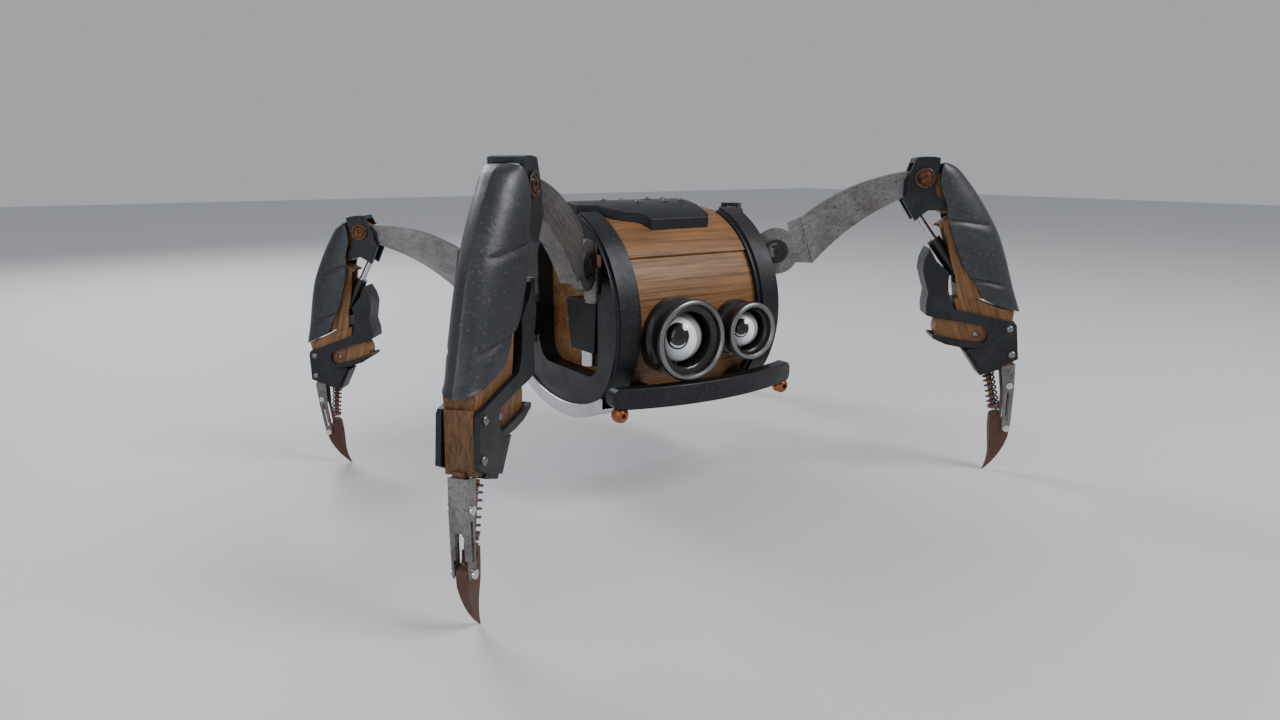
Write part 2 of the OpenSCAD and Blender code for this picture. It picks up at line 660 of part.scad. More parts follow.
// Coil spring over its guide rod, between the shin bracket and the claw
module ankle_spring() color("#6f7fa8")
    translate([spring_top[0], 0, spring_top[1]]) rotate([0, 180 - spring_tilt, 0]) {
        coil_r = 4.6;
        wire_r = 0.9;
        turns = 6;
        per_turn = 10;
        lift = spring_len - 2 * wire_r - 1.6;
        cylinder(h = spring_len - 0.4, r = 2.6);
        loft([for (i = [0:turns * per_turn]) let (a = 360 * i / per_turn)
              [for (k = [0:5]) let (b = 60 * k)
               [(coil_r + wire_r * cos(b)) * cos(a), (coil_r + wire_r * cos(b)) * sin(a),
                1.2 + wire_r + lift * i / (turns * per_turn) + wire_r * sin(b)]]]);
    }

// ---- output --------------------------------------------------------------------------------
// how far a yoke reaches down from its hip pivot to its servo, in the leg's own scale
front_drop = front_hip[2] - front_yaw_z;
rear_drop = (rear_hip[2] - rear_yaw_z) / rear_scale;

barrel();
left_cap();
right_cap();
top_cover();
belly_pan();
bumper();
eye_tubes();
large_eyeball();
small_eyeball();
hip_servos();
electronics();
body_fasteners();
for (leg = LEGS) {
    rear = leg[2] == REAR;
    on_hip(leg)
        hip_yoke(rear ? rear_crank / rear_scale : front_crank, rear ? rear_drop : front_drop);
    on_leg(leg) femur();
    on_leg(leg) knee_hood();
    on_leg(leg) knee_pin();
    on_leg(leg) shin_core();
    on_leg(leg) shin_armor();
    on_leg(leg) shin_bracket();
    on_leg(leg) ankle_channel();
    on_leg(leg) strut_cylinder();
    on_leg(leg) strut_rod();
    on_leg(leg) claw();
    on_leg(leg) ankle_spring();
}
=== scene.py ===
"""Looks of the four-legged walking robot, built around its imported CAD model."""
import json
import math

import bmesh
import bpy
from mathutils import Matrix, Vector


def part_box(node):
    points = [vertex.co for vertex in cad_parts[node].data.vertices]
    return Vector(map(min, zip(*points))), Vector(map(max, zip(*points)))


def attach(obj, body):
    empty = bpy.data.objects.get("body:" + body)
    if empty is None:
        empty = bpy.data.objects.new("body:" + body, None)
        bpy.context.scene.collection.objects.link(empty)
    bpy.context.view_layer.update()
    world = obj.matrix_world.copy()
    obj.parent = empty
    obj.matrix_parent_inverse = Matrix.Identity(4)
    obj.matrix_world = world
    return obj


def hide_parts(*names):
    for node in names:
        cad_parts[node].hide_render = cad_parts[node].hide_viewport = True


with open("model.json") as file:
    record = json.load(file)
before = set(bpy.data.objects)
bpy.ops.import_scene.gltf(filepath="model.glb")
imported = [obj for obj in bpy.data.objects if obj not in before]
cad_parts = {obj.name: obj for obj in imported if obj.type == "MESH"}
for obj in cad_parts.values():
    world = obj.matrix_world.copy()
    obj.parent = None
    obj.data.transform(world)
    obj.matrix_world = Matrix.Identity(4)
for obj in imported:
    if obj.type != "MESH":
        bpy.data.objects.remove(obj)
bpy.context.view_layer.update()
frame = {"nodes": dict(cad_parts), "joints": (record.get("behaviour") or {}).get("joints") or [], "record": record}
MM = 0.001

# ---- where the CAD's features are ----------------------------------------------------------
JOINTS = {joint["name"]: joint for joint in frame["joints"]}
BODY_OF = {node: body for body, nodes in frame["record"]["behaviour"]["bodies"].items()
           for node in nodes}
SLOT_OF = {part["node"]: part["material_slot"] for part in frame["record"]["subparts"]}
LEGS = ("front_left", "front_right", "rear_left", "rear_right")
HIP_AT = Vector((-124, 0, -65))             # hip pivot in a leg's millimetres from its knee
REAR_SCALE = 0.8
REAR_DROOP = math.radians(8.3)
EYES = {"large_eyeball": Vector(JOINTS["large_eye_pan"]["pos_m"]),
        "small_eyeball": Vector(JOINTS["small_eye_pan"]["pos_m"])}
ARMOR_STATIONS = (      # outer spine, inner rim and half the width, from the top tip down
    (20, 13, 14.8, 11, 13), (29, 8.8, 13.2, 3, 15.6), (38, -1, 13.6, -9, 16.9),
    (48, -14, 18, -20, 17.8), (58.6, -30, 21.8, -33, 18.5), (68.4, -47.4, 25, -47.5, 18.9),
    (75.8, -66.5, 32, -64.5, 18.9), (81, -82.5, 40, -80, 18.4), (85.6, -97, 49, -91, 17.4),
    (90.2, -109.5, 57, -103.7, 15.6), (92.6, -116.2, 72, -110.6, 13.6))
ARMOR_WALL = 3.0
ARMOR_GROOVES = (       # creases pressed into each side, from the rim outwards
    ((20, -34.5), (37.5, -36.3), (58, -39.8)), ((43, -85.6), (62, -88.6), (77, -92.4)))
SPRING_TOP = Vector((69.8, 0, -171.4))
SPRING_FOOT = Vector((79, 0, -208.5))
STRUT_TOP = Vector((-2, 0, -32))
STRUT_FOOT = Vector((33, 0, -80))
RIM_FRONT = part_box("eye_tubes")[0].y / MM
EYE_TURN = math.radians(5)                  # how far the gaze is turned aside from the camera
BRACKET_SCREWS = ((54, -136), (81.5, -130), (85.2, -153))     # the first is on the shin's foot
CAMERA_AT = (-0.4380, -0.6351, 0.2800)
CAMERA_HEADING = (0.553, 0.833, 0)
CAMERA_PITCH = math.radians(12.96)
CAMERA_LENS = 24.44


def leg_frame(leg):
    """Matrix from a leg's millimetres (x out, y across, z up from the knee) to the row frame."""
    side = 1 if leg.endswith("left") else -1
    hip = Vector(JOINTS[leg + "_hip"]["pos_m"])
    axis = JOINTS[leg + "_hip"]["axis"]
    rear = leg.startswith("rear")
    yaw = math.atan2(axis[0], -side * axis[1])
    return (Matrix.Scale(side, 4, (1, 0, 0)) @ Matrix.Translation((side * hip.x, hip.y, hip.z))
            @ Matrix.Rotation(yaw, 4, "Z") @ Matrix.Rotation(REAR_DROOP if rear else 0, 4, "Y")
            @ Matrix.Scale(MM * (REAR_SCALE if rear else 1), 4) @ Matrix.Translation(-HIP_AT))


LEG_FRAMES = {leg: leg_frame(leg) for leg in LEGS}


def leg_of(node):
    """The leg a node belongs to, or None for a node of the body."""
    return next((leg for leg in LEGS if node.startswith(leg + "_")), None)


# ---- shader building -----------------------------------------------------------------------
class Paint:
    """A node material whose textures follow the mesh attribute "local", in metres."""

    def __init__(self, name):
        self.material = bpy.data.materials.new(name)
        self.material.use_nodes = True
        self.tree = self.material.node_tree
        self.shader = self.tree.nodes["Principled BSDF"]
        self.place = self.add("ShaderNodeAttribute", attribute_name="local").outputs["Vector"]

    def add(self, kind, **settings):
        made = self.tree.nodes.new(kind)
        for key, value in settings.items():
            setattr(made, key, value)
        return made

    def wire(self, value, socket):
        if isinstance(value, bpy.types.NodeSocket):
            self.tree.links.new(value, socket)
        else:
            socket.default_value = value

    def put(self, **inputs):
        names = {"base": "Base Color", "rough": "Roughness", "metal": "Metallic",
                 "coat": "Coat Weight", "coat_rough": "Coat Roughness", "normal": "Normal",
                 "specular": "Specular IOR Level", "anisotropic": "Anisotropic"}
        for key, value in inputs.items():
            self.wire(value, self.shader.inputs[names[key]])
        return self.material

    def noise(self, scale, stretch=(1, 1, 1), detail=4.0, rough=0.55, twist=0.0, shift=0.0):
        moved = self.add("ShaderNodeMapping")
        moved.inputs["Scale"].default_value = stretch
        moved.inputs["Location"].default_value = (shift, shift, shift)
        self.wire(self.place, moved.inputs["Vector"])
        made = self.add("ShaderNodeTexNoise")
        self.wire(moved.outputs[0], made.inputs["Vector"])
        for key, value in (("Scale", scale), ("Detail", detail), ("Roughness", rough),
                           ("Distortion", twist)):
            made.inputs[key].default_value = value
        return made.outputs["Fac"]

    def ramp(self, factor, *stops):
        """Colour by factor; a stop is (place, colour) and a colour may be one grey level."""
        made = self.add("ShaderNodeValToRGB")
        band = made.color_ramp
        while len(band.elements) < len(stops):
            band.elements.new(0.5)
        for element, (place, colour) in zip(band.elements, stops):
            element.position = place
            element.color = ((colour,) * 3 if isinstance(colour, float) else colour) + (1,)
        self.wire(factor, made.inputs["Fac"])
        return made.outputs["Color"]

    def math(self, operation, first, second=0.0):
        made = self.add("ShaderNodeMath", operation=operation)
        self.wire(first, made.inputs[0])
        self.wire(second, made.inputs[1])
        return made.outputs[0]

    def level(self, factor, low, high, start=0.3, end=0.7):
        """A number that goes from low to high as factor goes from start to end."""
        made = self.add("ShaderNodeMapRange")
        for value, socket in zip((factor, start, end, low, high), made.inputs):
            self.wire(value, socket)
        return made.outputs[0]

    def mix(self, factor, first, second, blend="MIX"):
        made = self.add("ShaderNodeMix", data_type="RGBA", blend_type=blend)
        self.wire(factor, made.inputs[0])
        self.wire(first, made.inputs[6])
        self.wire(second, made.inputs[7])
        return made.outputs[2]

    def bump(self, height, depth, strength=1.0, below=None):
        made = self.add("ShaderNodeBump")
        made.inputs["Strength"].default_value = strength
        made.inputs["Distance"].default_value = depth
        self.wire(height, made.inputs["Height"])
        if below is not None:
            self.wire(below, made.inputs["Normal"])
        return made.outputs["Normal"]


def wood(name, light, middle, dark, rough=0.42):
    """Oiled hardwood with its grain along the first local axis."""
    paint = Paint(name)
    bands = paint.noise(46, (0.10, 1, 1), 4, 0.6, 0.4)
    streaks = paint.noise(260, (0.035, 1, 1), 5, 0.65, 0.25, 3.1)
    pores = paint.noise(620, (0.03, 1, 1), 2, 0.5, 0.0, 7.7)
    blend = paint.math("ADD", paint.math("MULTIPLY", bands, 0.38),
                       paint.math("MULTIPLY", streaks, 0.62))
    tone = paint.ramp(blend, (0.33, dark), (0.45, middle), (0.58, light), (0.68, middle))
    grime = paint.level(paint.noise(9, (0.5, 1, 1), 5, 0.6, 0.2, 1.3), 0.55, 1.0, 0.35, 0.6)
    lines = paint.level(pores, 0.6, 1.0, 0.36, 0.47)
    shade = paint.math("MULTIPLY", grime, lines)
    tone = paint.mix(1.0, tone, shade, "MULTIPLY")
    normal = paint.bump(pores, 0.00035, 0.5)
    normal = paint.bump(streaks, 0.0006, 0.35, normal)
    return paint.put(base=tone, rough=paint.level(streaks, rough + 0.12, rough - 0.06),
                     metal=0.0, coat=0.06, coat_rough=0.3, specular=0.3, normal=normal)


def casting(name, base, speck, rough=0.45, metal=0.75, grit=0.5, wear=0.5, specular=0.5):
    """Blackened or grey cast metal with a fine grit, cloudy tone and rubbed spots."""
    paint = Paint(name)
    cloud = paint.noise(38, detail=6, rough=0.62)
    grains = paint.noise(1500, detail=2, rough=0.7)
    spots = paint.noise(420, detail=3, rough=0.6, shift=2.0)
    rubbed = paint.noise(16, detail=7, rough=0.72, twist=0.6, shift=5.0)
    tone = paint.mix(paint.level(cloud, 0.0, 0.55, 0.35, 0.68), base + (1,),
                     tuple(0.62 * c for c in base) + (1,))
    tone = paint.mix(paint.level(spots, 0.0, 0.6, 0.58, 0.72), tone, speck + (1,))
    tone = paint.mix(paint.math("MULTIPLY", paint.level(rubbed, 0.0, 1.0, 0.54, 0.7), wear),
                     tone, tuple(min(1, 1.9 * c + 0.01) for c in base) + (1,))
    shine = paint.math("ADD", paint.level(cloud, rough - 0.08, rough + 0.1),
                       paint.level(spots, 0.0, 0.1, 0.5, 0.7))
    normal = paint.bump(grains, 0.00025, 0.35 * grit)
    normal = paint.bump(spots, 0.0004, 0.4 * grit, normal)
    return paint.put(base=tone, rough=shine, metal=metal, specular=specular, normal=normal)


def brushed(name, base, stain, rough=0.38, along=(0.03, 1, 1), grit=0.4):
    """Brushed steel with stained patches; the brush lines run along the first local axis."""
    paint = Paint(name)
    lines = paint.noise(900, along, 3, 0.65)
    patches = paint.noise(22, detail=7, rough=0.7, twist=0.8, shift=4.0)
    flecks = paint.noise(520, detail=3, rough=0.65, shift=9.0)
    tone = paint.mix(paint.level(patches, 0.0, 1.0, 0.42, 0.66), base + (1,),
                     stain + (1,))
    tone = paint.mix(1.0, tone, paint.ramp(lines, (0.3, 0.72), (0.7, 1.0)), "MULTIPLY")
    tone = paint.mix(1.0, tone, paint.ramp(flecks, (0.32, 0.55), (0.5, 1.0)), "MULTIPLY")
    shine = paint.math("ADD", paint.level(lines, rough - 0.1, rough + 0.08),
                       paint.level(patches, 0.0, 0.16, 0.4, 0.7))
    normal = paint.bump(lines, 0.0002, 0.4 * grit)
    normal = paint.bump(flecks, 0.0004, 0.4 * grit, normal)
    return paint.put(base=tone, rough=shine, metal=0.92, anisotropic=0.35, normal=normal)


def polished(name, base, rough=0.18, metal=1.0, scratch=0.5):
    """Polished metal or lacquer with hairline scratches and faint smears."""
    paint = Paint(name)
    hair = paint.noise(700, (0.06, 1, 1), 4, 0.7, 0.2)
    smear = paint.noise(28, detail=6, rough=0.6, twist=0.5, shift=6.0)
    shade = paint.ramp(smear, (0.35, 0.8), (0.6, 1.0))
    tone = paint.mix(1.0, base + (1,), shade, "MULTIPLY")
    shine = paint.math("ADD", paint.level(smear, rough - 0.03, rough + 0.12),
                       paint.level(hair, 0.0, 0.1, 0.55, 0.7))
    return paint.put(base=tone, rough=shine, metal=metal,
                     normal=paint.bump(hair, 0.00008, scratch))


def eye_paint():
    """White of the eye with a bright disc, a pupil, a painted glint highlight and a low crescent of painted
    reflection.
    The attribute "gaze" holds a point's direction as seen along the gaze: right, up, out."""
    paint = Paint("eye_white")
    seen = paint.add("ShaderNodeAttribute", attribute_name="gaze")
    parts = paint.add("ShaderNodeSeparateXYZ")
    paint.wire(seen.outputs["Vector"], parts.inputs[0])
    right, up, out = parts.outputs
    front = paint.level(out, 0.0, 1.0, 0.0, 0.02)

    def inside(x, y, half_width, half_height, soft=0.05):
        """1 inside an ellipse of the eye, 0 outside, with a soft edge."""
        across = paint.math("DIVIDE", paint.math("SUBTRACT", right, x), half_width)
        upward = paint.math("DIVIDE", paint.math("SUBTRACT", up, y), half_height)
        reach = paint.math("ADD", paint.math("MULTIPLY", across, across),
                           paint.math("MULTIPLY", upward, upward))
        return paint.math("MULTIPLY", paint.level(reach, 1.0, 0.0, 1 - soft, 1 + soft), front)

    veins = paint.noise(160, detail=5, rough=0.6, twist=0.4)
    tone = paint.mix(paint.level(veins, 0.0, 0.35), (0.36, 0.36, 0.37, 1), (0.27, 0.27, 0.28, 1))
    tone = paint.mix(inside(-0.04, -0.12, 0.78, 0.85, 0.02), tone, (0.86, 0.88, 0.92, 1))
    tone = paint.mix(inside(0, 0, 0.43, 0.51), tone, (0.006, 0.006, 0.007, 1))
    # painted reflection: a pale crescent in the low part of the pupil
    crescent_reflection = paint.math("SUBTRACT", inside(0.0, -0.01, 0.36, 0.43),
                          inside(0.02, 0.09, 0.4, 0.46))
    low = paint.level(up, 1.0, 0.0, -0.27, -0.2)
    crescent_reflection = paint.math("MULTIPLY", paint.math("MAXIMUM", crescent_reflection, 0.0), low)
    tone = paint.mix(crescent_reflection, tone, (0.86, 0.88, 0.92, 1))
    # painted highlight: a white glint dot at the upper right of the pupil
    tone = paint.mix(inside(0.3, 0.33, 0.115, 0.125, 0.12), tone, (0.9, 0.92, 0.95, 1))
    return paint.put(base=tone, rough=paint.level(veins, 0.16, 0.24), metal=0.0,
                     coat=0.3, coat_rough=0.08, normal=paint.bump(veins, 0.0001, 0.15))


PAINTS = {
    "oak": wood("oak", (0.285, 0.138, 0.053), (0.190, 0.088, 0.034), (0.085, 0.040, 0.017)),
    "dark_casting": casting("dark_casting", (0.030, 0.032, 0.036), (0.075, 0.078, 0.085), 0.40),
    # lighter copy of dark_casting for the rounded edges: a painted highlight along the edges
    "dark_edge_highlight": casting("dark_edge_highlight", (0.13, 0.135, 0.145), (0.2, 0.2, 0.21), 0.36, 0.85),
    "armor_casting": casting("armor_casting", (0.060, 0.063, 0.070), (0.14, 0.145, 0.155),
                             0.42, 0.8, 0.9, 0.4),
    # lighter copy of armor_casting for the rounded edges: a painted highlight along the edges
    "armor_edge": casting("armor_edge", (0.19, 0.2, 0.21), (0.3, 0.3, 0.31), 0.36, 0.9),
    "grey_steel": brushed("grey_steel", (0.30, 0.285, 0.285), (0.17, 0.15, 0.148), 0.38),
    # lighter copy of grey_steel for the rounded edges: a painted highlight along the edges
    "steel_edge_highlight": brushed("steel_edge_highlight", (0.60, 0.59, 0.59), (0.42, 0.40, 0.39), 0.28),
    "polished_steel": polished("polished_steel", (0.62, 0.61, 0.64), 0.2),
    "black_gloss": polished("black_gloss", (0.012, 0.012, 0.013), 0.2, 0.0, 0.3),
    "rim_steel": polished("rim_steel", (0.22, 0.22, 0.225), 0.3),
    "servo_case": casting("servo_case", (0.006, 0.006, 0.0065), (0.014, 0.014, 0.014), 0.36, 0.0,
                          wear=0.15, specular=0.12),
    "eye_white": eye_paint(),
    "bronze": brushed("bronze", (0.50, 0.18, 0.075), (0.20, 0.065, 0.03), 0.28, (1, 1, 1)),
    "pin_copper": brushed("pin_copper", (0.26, 0.10, 0.05), (0.10, 0.04, 0.022), 0.3, (1, 1, 1)),
    "claw_bronze": casting("claw_bronze", (0.115, 0.062, 0.042), (0.21, 0.12, 0.085), 0.5, 0.7,
                           1.2, 0.6),
    "spring_steel": brushed("spring_steel", (0.12, 0.14, 0.22), (0.06, 0.06, 0.09), 0.34,
                            (1, 1, 1)),
    "circuit_board": casting("circuit_board", (0.01, 0.08, 0.04), (0.3, 0.25, 0.1), 0.5, 0.0),
}


# ---- mesh building -------------------------------------------------------------------------
GRAIN = {           # direction of the grain or brush lines in a leg's own plane
    "shin_core": Vector((0.36, 0, -0.93)), "femur": Vector((0.86, 0, 0.51)),
}


def mark_local(mesh, node):
    """Stores where each vertex is along and across the grain, in metres of its own piece."""
    leg = leg_of(node)
    if leg is None:
        places = [v.co.copy() for v in mesh.vertices]
    else:
        inverse = LEG_FRAMES[leg].inverted()
        part = node[len(leg) + 1:]
        along = GRAIN.get(part, Vector((1, 0, 0))).normalized()
        turn = Vector((0, 1, 0)).cross(along)
        offset = Vector((0.37, 0.11, 0.23)) * LEGS.index(leg)
        places = []
        for vertex in mesh.vertices:
            p = inverse @ vertex.co * MM
            places.append(Vector((p.dot(along), p.y, p.dot(turn))) + offset)
    layer = mesh.attributes.new("local", "FLOAT_VECTOR", "POINT")
    layer.data.foreach_set("vector", [c for p in places for c in p])


def mark_gaze(mesh, middle):
    """Stores each vertex's direction from the eyeball's middle: right, up, out along its gaze."""
    out = (Vector(CAMERA_AT) - middle).normalized()
    out = (Matrix.Rotation(EYE_TURN, 3, "Z") @ out).normalized()
    right = Vector((0, 0, 1)).cross(out).normalized()
    up = out.cross(right)
    layer = mesh.attributes.new("gaze", "FLOAT_VECTOR", "POINT")
    values = []
    for vertex in mesh.vertices:
        d = (vertex.co - middle).normalized()
        values += [d.dot(right), d.dot(up), d.dot(out)]
    layer.data.foreach_set("vector", values)


def finish_piece(obj, nodes, body, paints):
    """Gives the piece its paints, hangs it on its body and hides the CAD nodes it stands for."""
    for paint in paints:
        obj.data.materials.append(PAINTS[paint])
    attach(obj, body)
    if nodes:
        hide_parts(*nodes)
    return obj


def baked(obj):
    """The same piece with its modifiers made part of its mesh."""
    view = bpy.context.evaluated_depsgraph_get()
    mesh = bpy.data.meshes.new_from_object(obj.evaluated_get(view), depsgraph=view)
    name = obj.name
    old = obj.data
    bpy.data.objects.remove(obj)
    bpy.data.meshes.remove(old)
    made = bpy.data.objects.new(name, mesh)
    mesh.name = name
    bpy.context.scene.collection.objects.link(made)
    return made


def smooth(mesh, degrees=35):
    mesh.shade_smooth()
    mesh.set_sharp_from_angle(angle=math.radians(degrees))


def rounded_copy(node, width, segments=2, edge=None, angle=32, painter=None):
    """A copy of a CAD node with its edges rounded. Rounded faces take the paint called edge, a lighter copy that
    paints a highlight along the edges, and painter may name a paint for a face from its middle in the piece's
    millimetres."""
    mesh = frame["nodes"][node].data.copy()
    mesh.materials.clear()
    shape = bmesh.new()
    shape.from_mesh(mesh)
    bmesh.ops.remove_doubles(shape, verts=shape.verts, dist=2e-6)
    bmesh.ops.dissolve_limit(shape, angle_limit=math.radians(1.0), verts=shape.verts,
                             edges=shape.edges)
    shape.to_mesh(mesh)
    shape.free()
    for face in mesh.polygons:
        face.material_index = 0
    if mesh.has_custom_normals:
        mesh.normals_split_custom_set([(0, 0, 0)] * len(mesh.loops))
    obj = bpy.data.objects.new(node + "_finish", mesh)
    bpy.context.scene.collection.objects.link(obj)
    smooth(mesh, 28)
    bevel = obj.modifiers.new("round", "BEVEL")
    bevel.width = width
    bevel.segments = segments
    bevel.limit_method = "ANGLE"
    bevel.angle_limit = math.radians(angle)
    bevel.use_clamp_overlap = True
    bevel.miter_outer = "MITER_ARC"
    if edge:
        obj.data.materials.append(None)
        obj.data.materials.append(None)
        bevel.material = 1
    weigh = obj.modifiers.new("normals", "WEIGHTED_NORMAL")
    weigh.keep_sharp = True
    obj = baked(obj)
    obj.data.materials.clear()
    slot = SLOT_OF[node]
    paints = [slot] + ([edge] if edge else [])
    if painter:
        leg = leg_of(node)
        inverse = LEG_FRAMES[leg].inverted() if leg else Matrix.Scale(1000, 4)
        for face in obj.data.polygons:
            named = painter(inverse @ face.center)
            if named:
                if named not in paints:
                    paints.append(named)
                face.material_index = paints.index(named)
    mark_local(obj.data, node)
    if node in EYES:
        mark_gaze(obj.data, EYES[node])
    return finish_piece(obj, [node], BODY_OF[node], paints)


def mesh_piece(name, rings, closed_way=True, capped=True, matrix=None):
    """A mesh through rings of points; matrix takes the points to the row frame."""
    shape = bmesh.new()
    count = len(rings[0])
    grid = [[shape.verts.new(matrix @ Vector(p) if matrix else Vector(p)) for p in ring]
            for ring in rings]
    last = count if closed_way else count - 1
    for one, two in zip(grid, grid[1:]):
        for i in range(last):
            k = (i + 1) % count
            shape.faces.new((one[i], one[k], two[k], two[i]))
    if capped:
        shape.faces.new(list(reversed(grid[0])))
        shape.faces.new(grid[-1])
    bmesh.ops.recalc_face_normals(shape, faces=shape.faces)
    mesh = bpy.data.meshes.new(name)
    shape.to_mesh(mesh)
    shape.free()
    obj = bpy.data.objects.new(name, mesh)
    bpy.context.scene.collection.objects.link(obj)
    return obj


# ---- legs ----------------------------------------------------------------------------------
def spline(values, t):
    """Catmull-Rom curve through a list of tuples, at t from 0 to the list's last index."""
    i = min(int(t), len(values) - 2)
    f = t - i
    p0, p1, p2, p3 = (values[max(0, min(len(values) - 1, i + k))] for k in (-1, 0, 1, 2))
    return [0.5 * (2 * b + (c - a) * f + (2 * a - 5 * b + 4 * c - d) * f * f
                   + (3 * b - a - 3 * c + d) * f ** 3) for a, b, c, d in zip(p0, p1, p2, p3)]


def groove_depth(x, z):
    """How deep a crease is pressed at a point of the armour's side, from 0 to 1."""
    deepest = 0.0
    for line in ARMOR_GROOVES:
        for (ax, az), (bx, bz) in zip(line, line[1:]):
            length = math.hypot(bx - ax, bz - az)
            t = ((x - ax) * (bx - ax) + (z - az) * (bz - az)) / length ** 2
            t = max(0.0, min(1.0, t))
            off = math.hypot(x - ax - t * (bx - ax), z - az - t * (bz - az))
            above = z > az + t * (bz - az)
            reach = 0.75 if above else 3.2
            fade = max(0.0, min(1.0, (line[-1][0] - x) / 12 + 0.25))
            deepest = max(deepest, math.exp(-(off / reach) ** 2) * fade)
    return deepest


def armor(leg, rows=150, half=22):
    """The armour as a finely stepped shell with its two creases and a soft ridge."""
    rings = []
    for row in range(rows + 1):
        sx, sz, rx, rz, width = spline(ARMOR_STATIONS, row / rows * (len(ARMOR_STATIONS) - 1))
        spine = Vector((sx, 0, sz))
        rim = Vector((rx, 0, rz))
        deep = (spine - rim).length
        way = (spine - rim) / deep
        wall = min(ARMOR_WALL, deep * 0.5)
        skins = []
        for reach, wide in ((deep, width), (deep - wall, width - wall)):
            skin = []
            for i in range(-half, half + 1):
                t = math.sin(i / half * math.pi / 2)
                bulge = (1 - 0.2 * abs(t)) * math.sqrt(max(0, 1 - abs(t) ** 3.4))
                skin.append(rim + way * reach * bulge + Vector((0, wide * t, 0)))
            skins.append(skin)
        outer = [p.lerp(q, 0.62 * groove_depth(p.x, p.z) * min(1, abs(p.y) / 5))
                 for p, q in zip(*skins)]
        rings.append(outer + skins[1][::-1])
    name = leg + "_shin_armor"
    obj = mesh_piece(name + "_finish", rings, matrix=LEG_FRAMES[leg])
    smooth(obj.data, 50)
    bevel = obj.modifiers.new("round", "BEVEL")
    bevel.width = 0.55 * MM
    bevel.segments = 2
    bevel.limit_method = "ANGLE"
    bevel.angle_limit = math.radians(50)
    obj.data.materials.append(None)
    obj.data.materials.append(None)
    bevel.material = 1
    weigh = obj.modifiers.new("normals", "WEIGHTED_NORMAL")
    weigh.keep_sharp = True
    obj = baked(obj)
    obj.data.materials.clear()
    mark_local(obj.data, name)
    # the second paint is a lighter copy, painted as a highlight on the armour's rounded edges
    finish_piece(obj, [name], leg + "_shin", ["armor_casting", "armor_edge"])


def tube_rings(path, radius, sides=10):
    """Rings of a round wire along a path of points."""
    rings = []
    for i, p in enumerate(path):
        way = (path[min(i + 1, len(path) - 1)] - path[max(i - 1, 0)]).normalized()
        flat = way.cross(Vector((0.13, 0.94, 0.31))).normalized()
        rise = way.cross(flat)
        rings.append([p + radius * (math.cos(a) * flat + math.sin(a) * rise)
                      for a in (2 * math.pi * k / sides for k in range(sides))])
    return rings


def ankle_spring(leg, turns=7.5, coil_r=4.6, wire_r=0.85, per_turn=26):
    """Coil with closed ends over a copper guide rod with a ring at its foot."""
    axis = SPRING_FOOT - SPRING_TOP
    length = axis.length
    stand = (LEG_FRAMES[leg] @ Matrix.Translation(SPRING_TOP)
             @ axis.to_track_quat("Z", "Y").to_matrix().to_4x4())
    path = []
    steps = int(turns * per_turn)
    for i in range(steps + 1):
        t = i / steps
        middle = max(0.0, min(1.0, (t * turns - 0.6) / (turns - 1.2)))
        closed = 0.5 - 0.5 * math.cos(math.pi * middle)
        rise = 1.4 + (length - 4.2) * (0.15 * closed + 0.85 * t)
        a = 2 * math.pi * turns * t
        path.append(Vector((coil_r * math.cos(a), coil_r * math.sin(a), rise)))
    coil = mesh_piece(leg + "_spring_coil", tube_rings(path, wire_r), matrix=stand)
    smooth(coil.data, 60)
    mark_local(coil.data, leg + "_ankle_spring")
    finish_piece(coil, [leg + "_ankle_spring"], leg + "_shin", ["spring_steel"])
    profile = [(2.4, 0.1), (2.9, 0.4), (2.9, 3.2), (2.5, 3.6), (2.5, length - 7),
               (4.6, length - 6.6), (5.2, length - 5.9), (5.2, length - 4.3),
               (4.6, length - 3.6), (3.2, length - 3.2),
               (2.6, length - 2.6)]
    rings = [[(r * math.cos(a), r * math.sin(a), z)
              for a in (2 * math.pi * k / 28 for k in range(28))] for r, z in profile]
    rod = mesh_piece(leg + "_spring_rod", rings, matrix=stand)
    smooth(rod.data, 40)
    mark_local(rod.data, leg + "_ankle_spring")
    finish_piece(rod, [], leg + "_shin", ["bronze"])


def paint_yoke(p):
    """Black bearing ring and socket in front of the ear, with steel between them."""
    p = p - HIP_AT
    reach = math.hypot(p.x, p.z)
    if p.y < -4.2 and reach < 11:
        return "rim_steel" if 3 <= reach <= 6.2 else "black_gloss"
    return None


def paint_knee_pin(p):
    """Black washer and head rim round a small copper socket."""
    reach = math.hypot(p.x, p.z)
    return "black_gloss" if reach > 3.6 else "pin_copper"


def paint_bracket(p):
    """Bright button heads beside the dark plates."""
    for x, z in BRACKET_SCREWS:
        near = math.hypot(p.x - x, p.z - z) < 3.1
        if near and (abs(p.y) > 14.2 or (x < 60 and 9.9 < abs(p.y) < 12.3)):
            return "rim_steel"
    return None


def paint_channel(p):
    return "polished_steel" if abs(p.y) > 6.25 else None


def paint_strut_case(p):
    along = (p - STRUT_FOOT).dot((STRUT_TOP - STRUT_FOOT).normalized())
    return "polished_steel" if along > 30 else None


for leg in LEGS:
    size = REAR_SCALE if leg.startswith("rear") else 1
    for part, width, edge, painter in (
            ("hip_yoke", 0.5, None, paint_yoke),
            ("femur", 0.8, "steel_edge_highlight", None),
            ("knee_hood", 0.7, "dark_edge_highlight", None),
            ("knee_pin", 0.3, None, paint_knee_pin),
            ("shin_core", 0.9, None, None),
            ("shin_bracket", 0.45, "dark_edge_highlight", paint_bracket),
            ("ankle_channel", 0.3, "steel_edge_highlight", paint_channel),
            ("strut_cylinder", 0.6, None, paint_strut_case),
            ("strut_rod", 0.4, None, None),
            ("claw", 0.45, None, None)):
        rounded_copy(f"{leg}_{part}", width * size * MM, edge=edge, painter=painter)
    armor(leg)
    ankle_spring(leg)


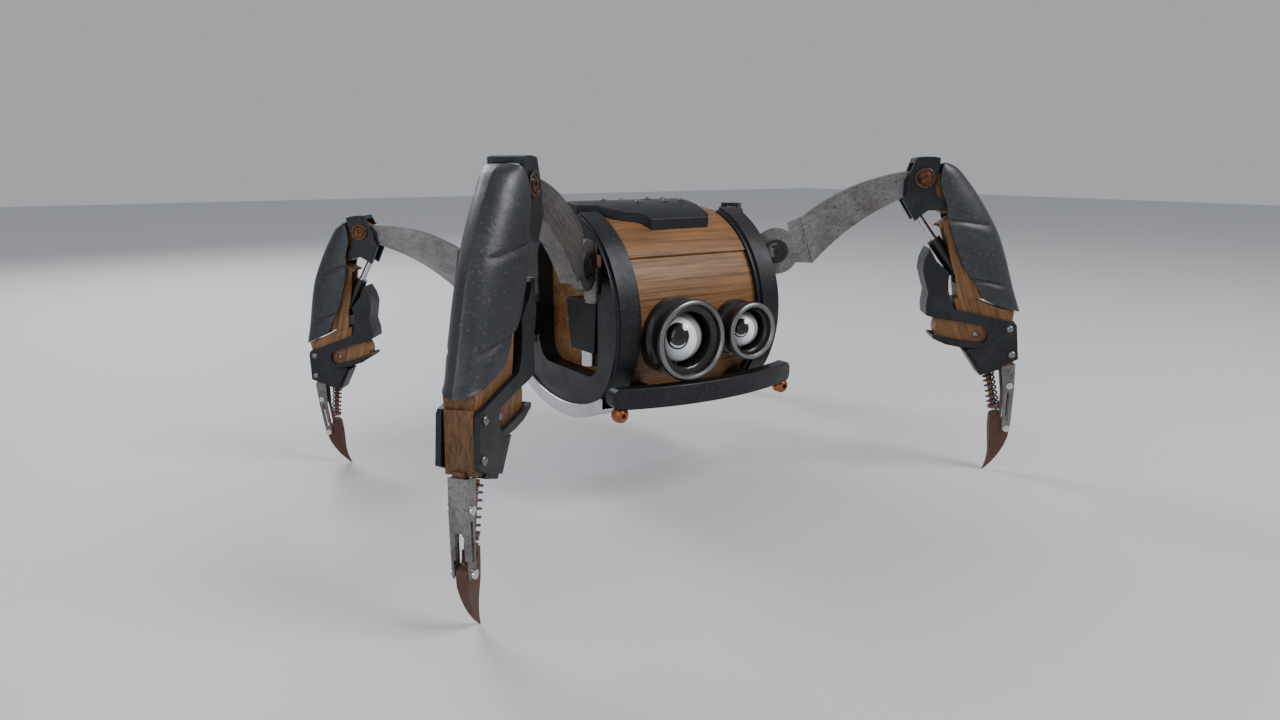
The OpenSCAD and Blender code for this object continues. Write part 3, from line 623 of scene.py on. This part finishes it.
# ---- body ----------------------------------------------------------------------------------
def paint_fasteners(p):
    return "rim_steel" if p.z > 200 else "bronze"


def paint_servos(p):
    front = p.y < 20
    return "polished_steel" if p.z < (124.9 if front else 127.9) else None


def paint_tube_rim_highlight(p):
    """Painted highlight: a band of lighter steel along the very front of the rims."""
    return "rim_steel" if p.y < RIM_FRONT + 1.1 else None


for node, width, edge, painter in (
        ("barrel", 0.9, None, None), ("left_cap", 1.2, "dark_edge_highlight", None),
        ("right_cap", 1.2, "dark_edge_highlight", None), ("top_cover", 2.2, None, None),
        ("belly_pan", 0.8, None, None), ("bumper", 1.6, "dark_edge_highlight", None),
        ("eye_tubes", 0.3, None, paint_tube_rim_highlight), ("large_eyeball", 0.2, None, None),
        ("small_eyeball", 0.2, None, None), ("hip_servos", 1.2, None, paint_servos),
        ("electronics", 0.4, None, None), ("body_fasteners", 0.25, None, paint_fasteners)):
    rounded_copy(node, width * MM, segments=3, edge=edge, painter=painter)

# ---- floor, light and camera ---------------------------------------------------------------
def plain(name, colour, rough):
    paint = Paint(name)
    return paint.put(base=colour + (1,), rough=rough, metal=0.0)


def studio():
    """A pale sweep that stays out of the way, three soft lights and a pale sky."""
    floor = mesh_piece("floor", [[(-6, -6, 0), (-6, 6, 0)], [(6, -6, 0), (6, 6, 0)]],
                       closed_way=False, capped=False)
    floor.data.materials.append(plain("floor_paint", (0.62, 0.62, 0.63), 0.6))
    target = Vector((0, 0, 0.14))
    for name, place, size, power, colour in (
            ("key", (0.9, -1.3, 1.7), 0.9, 34, (1.0, 0.97, 0.93)),
            ("fill", (-1.7, -0.9, 0.9), 1.4, 12, (0.92, 0.96, 1.0)),
            ("rim", (-0.3, 1.7, 1.3), 0.9, 26, (0.95, 0.97, 1.0))):
        light = bpy.data.lights.new(name, "AREA")
        light.size = size
        light.energy = power
        light.color = colour
        lamp = bpy.data.objects.new(name, light)
        lamp.location = place
        lamp.rotation_euler = (target - Vector(place)).to_track_quat("-Z", "Y").to_euler()
        bpy.context.scene.collection.objects.link(lamp)
    world = bpy.data.worlds.new("sky")
    world.use_nodes = True
    sky = world.node_tree.nodes["Background"]
    sky.inputs["Color"].default_value = (0.75, 0.78, 0.82, 1)
    sky.inputs["Strength"].default_value = 0.55
    bpy.context.scene.world = world


def camera():
    """The picture's view: from the robot's right front, a little above its knees."""
    heading = Vector(CAMERA_HEADING).normalized()
    way = heading * math.cos(CAMERA_PITCH) - Vector((0, 0, math.sin(CAMERA_PITCH)))
    lens = bpy.data.cameras.new("camera")
    lens.lens = CAMERA_LENS
    lens.sensor_width = 36
    lens.clip_start = 0.01
    view = bpy.data.objects.new("camera", lens)
    view.location = CAMERA_AT
    view.rotation_euler = way.to_track_quat("-Z", "Y").to_euler()
    bpy.context.scene.collection.objects.link(view)
    bpy.context.scene.camera = view


studio()
camera()
